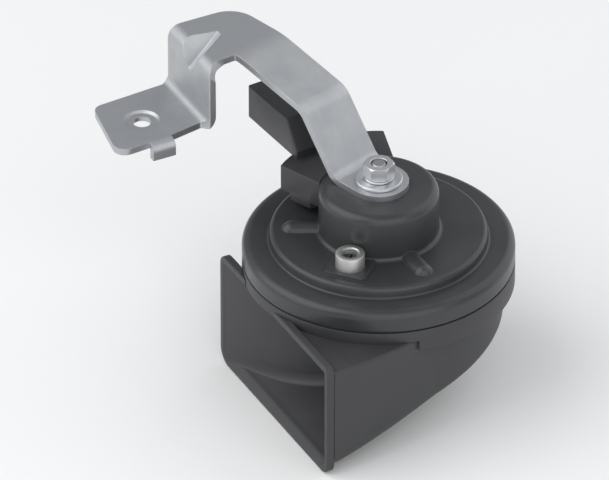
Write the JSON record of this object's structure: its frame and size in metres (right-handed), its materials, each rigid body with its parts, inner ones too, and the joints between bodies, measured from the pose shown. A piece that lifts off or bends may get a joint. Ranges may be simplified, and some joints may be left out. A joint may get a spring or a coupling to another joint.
{
  "type": "vehicle horn",
  "caption": "Disc-type electric car horn with a snail trumpet, an adjusting boss, a side connector and a cranked mounting bracket.",
  "frame": {"origin": "centre of the bracket foot's bolt hole on the foot's underside", "axes": "+Z along the foot's bolt and the horn's own axis, from the trumpet towards the bracket; the trumpet's mouth opens towards -Y; +X from the bracket towards the horn"},
  "size_m": [0.1373, 0.1274, 0.1111],
  "materials": {
    "zinc_plate": "bright zinc plate, satin",
    "case_paint": "black dip-coated steel, semi-gloss",
    "core_steel": "machined steel",
    "bobbin_plastic": "natural nylon",
    "winding": "enamelled copper wire",
    "spring_steel": "rolled spring steel",
    "gasket": "pressed fibre and rubber",
    "insulator": "phenolic sheet",
    "contact_brass": "phosphor bronze leaf",
    "connector_plastic": "moulded nylon, fine grain",
    "terminal_tin": "tinned brass",
    "resistor_body": "ceramic body",
    "trumpet_plastic": "moulded glass-filled plastic, fine grain"
  },
  "bodies": {
    "horn": {"mounting_bracket": "zinc_plate", "plain_washer": "zinc_plate", "spring_washer": "zinc_plate", "bracket_nut": "zinc_plate", "horn_case": "case_paint", "pole_core": "core_steel", "coil_bobbin": "bobbin_plastic", "coil_winding": "winding", "upper_gasket": "gasket", "lower_gasket": "gasket", "contact_insulators": "insulator", "fixed_contact_arm": "contact_brass", "moving_contact_arm": "contact_brass", "contact_rivets": "zinc_plate", "adjusting_collar": "zinc_plate", "adjusting_screw": "zinc_plate", "connector_housing": "connector_plastic", "terminal_pins": "terminal_tin", "connector_rivets": "zinc_plate", "resistor": "resistor_body", "chamber_plate": "trumpet_plastic", "snail_trumpet": "trumpet_plastic"},
    "armature_set": {"armature": "core_steel", "armature_washer": "zinc_plate", "armature_nut": "zinc_plate", "diaphragm": "spring_steel"}
  },
  "joints": [
    {"name": "armature_stroke", "type": "slide", "parent": "horn", "child": "armature_set", "axis": [0, 0, 1], "range_m": [0, 0.0005], "stiffness_N_per_m": 3000, "deforming": ["diaphragm"]}
  ]
}
